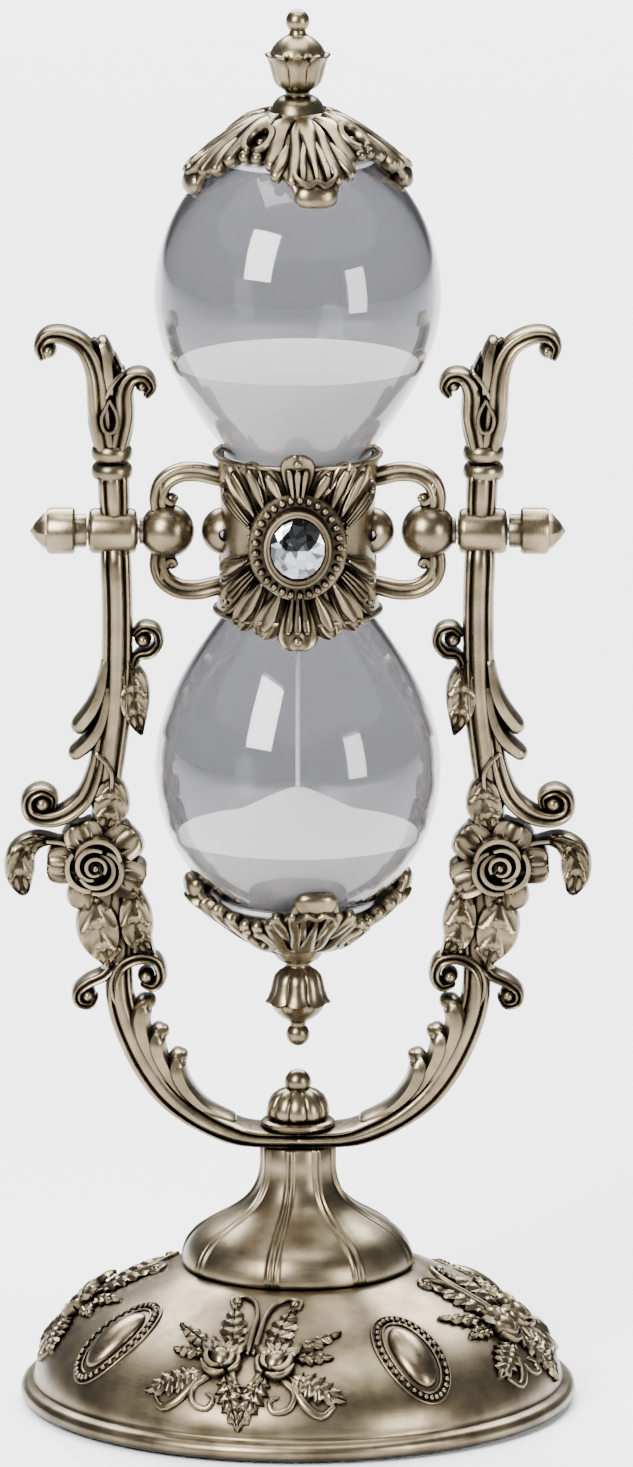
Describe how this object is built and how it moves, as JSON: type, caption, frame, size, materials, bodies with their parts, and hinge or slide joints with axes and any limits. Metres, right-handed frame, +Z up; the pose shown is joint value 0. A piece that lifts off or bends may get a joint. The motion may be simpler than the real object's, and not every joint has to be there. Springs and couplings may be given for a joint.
{
  "type": "hourglass",
  "caption": "Decorative hourglass: a glass vial of white sand turns over in an ornate U-shaped metal cradle on a bell column and a domed base.",
  "frame": {"origin": "under the middle of the base, on the surface that it stands on", "axes": "+Z up along the vial, +X to the right along the turning axis, +Y to the back"},
  "size_m": [0.1268, 0.12, 0.3042],
  "materials": {
    "bronze": "antique brushed bronze plating with dark patina in the recesses",
    "bearing_bronze": "plain turned bush",
    "steel": "plain steel",
    "felt": "black felt",
    "glass": "clear blown glass",
    "gem": "faceted clear crystal, foil backed",
    "sand": "fine white sand",
    "cork": "cork",
    "rubber": "soft black rubber"
  },
  "bodies": {
    "stand": {"base_dome": "bronze", "bottom_plate": "steel", "felt_pad": "felt", "bell_column": "bronze", "tie_rod": "steel", "tie_washer": "steel", "tie_nut": "steel", "cradle_yoke": "bronze", "strap_washer": "bronze", "acorn_nut": "bronze", "pivot_sleeve_left": "bearing_bronze", "pivot_sleeve_right": "bearing_bronze"},
    "vial": {"glass_vial": "glass", "fill_plug": "cork", "sand_upper": "sand", "sand_lower": "sand", "sand_stream": "sand", "top_cap": "bronze", "bottom_cap": "bronze", "top_cap_pad": "rubber", "bottom_cap_pad": "rubber", "top_finial": "bronze", "bottom_finial": "bronze", "band_liner_upper": "rubber", "band_liner_lower": "rubber", "waist_band_front": "bronze", "waist_band_back": "bronze", "clamp_screws": "steel", "bezel_front": "bronze", "bezel_back": "bronze", "gem_front": "gem", "gem_back": "gem", "bracket_left": "bronze", "bracket_right": "bronze", "pivot_pin_left": "steel", "pivot_pin_right": "steel", "knob_left": "bronze", "knob_right": "bronze"}
  },
  "joints": [
    {"name": "glass_spin", "type": "hinge", "parent": "stand", "child": "vial", "pos_m": [0, 0, 0.191], "axis": [1, 0, 0], "continuous": true}
  ]
}
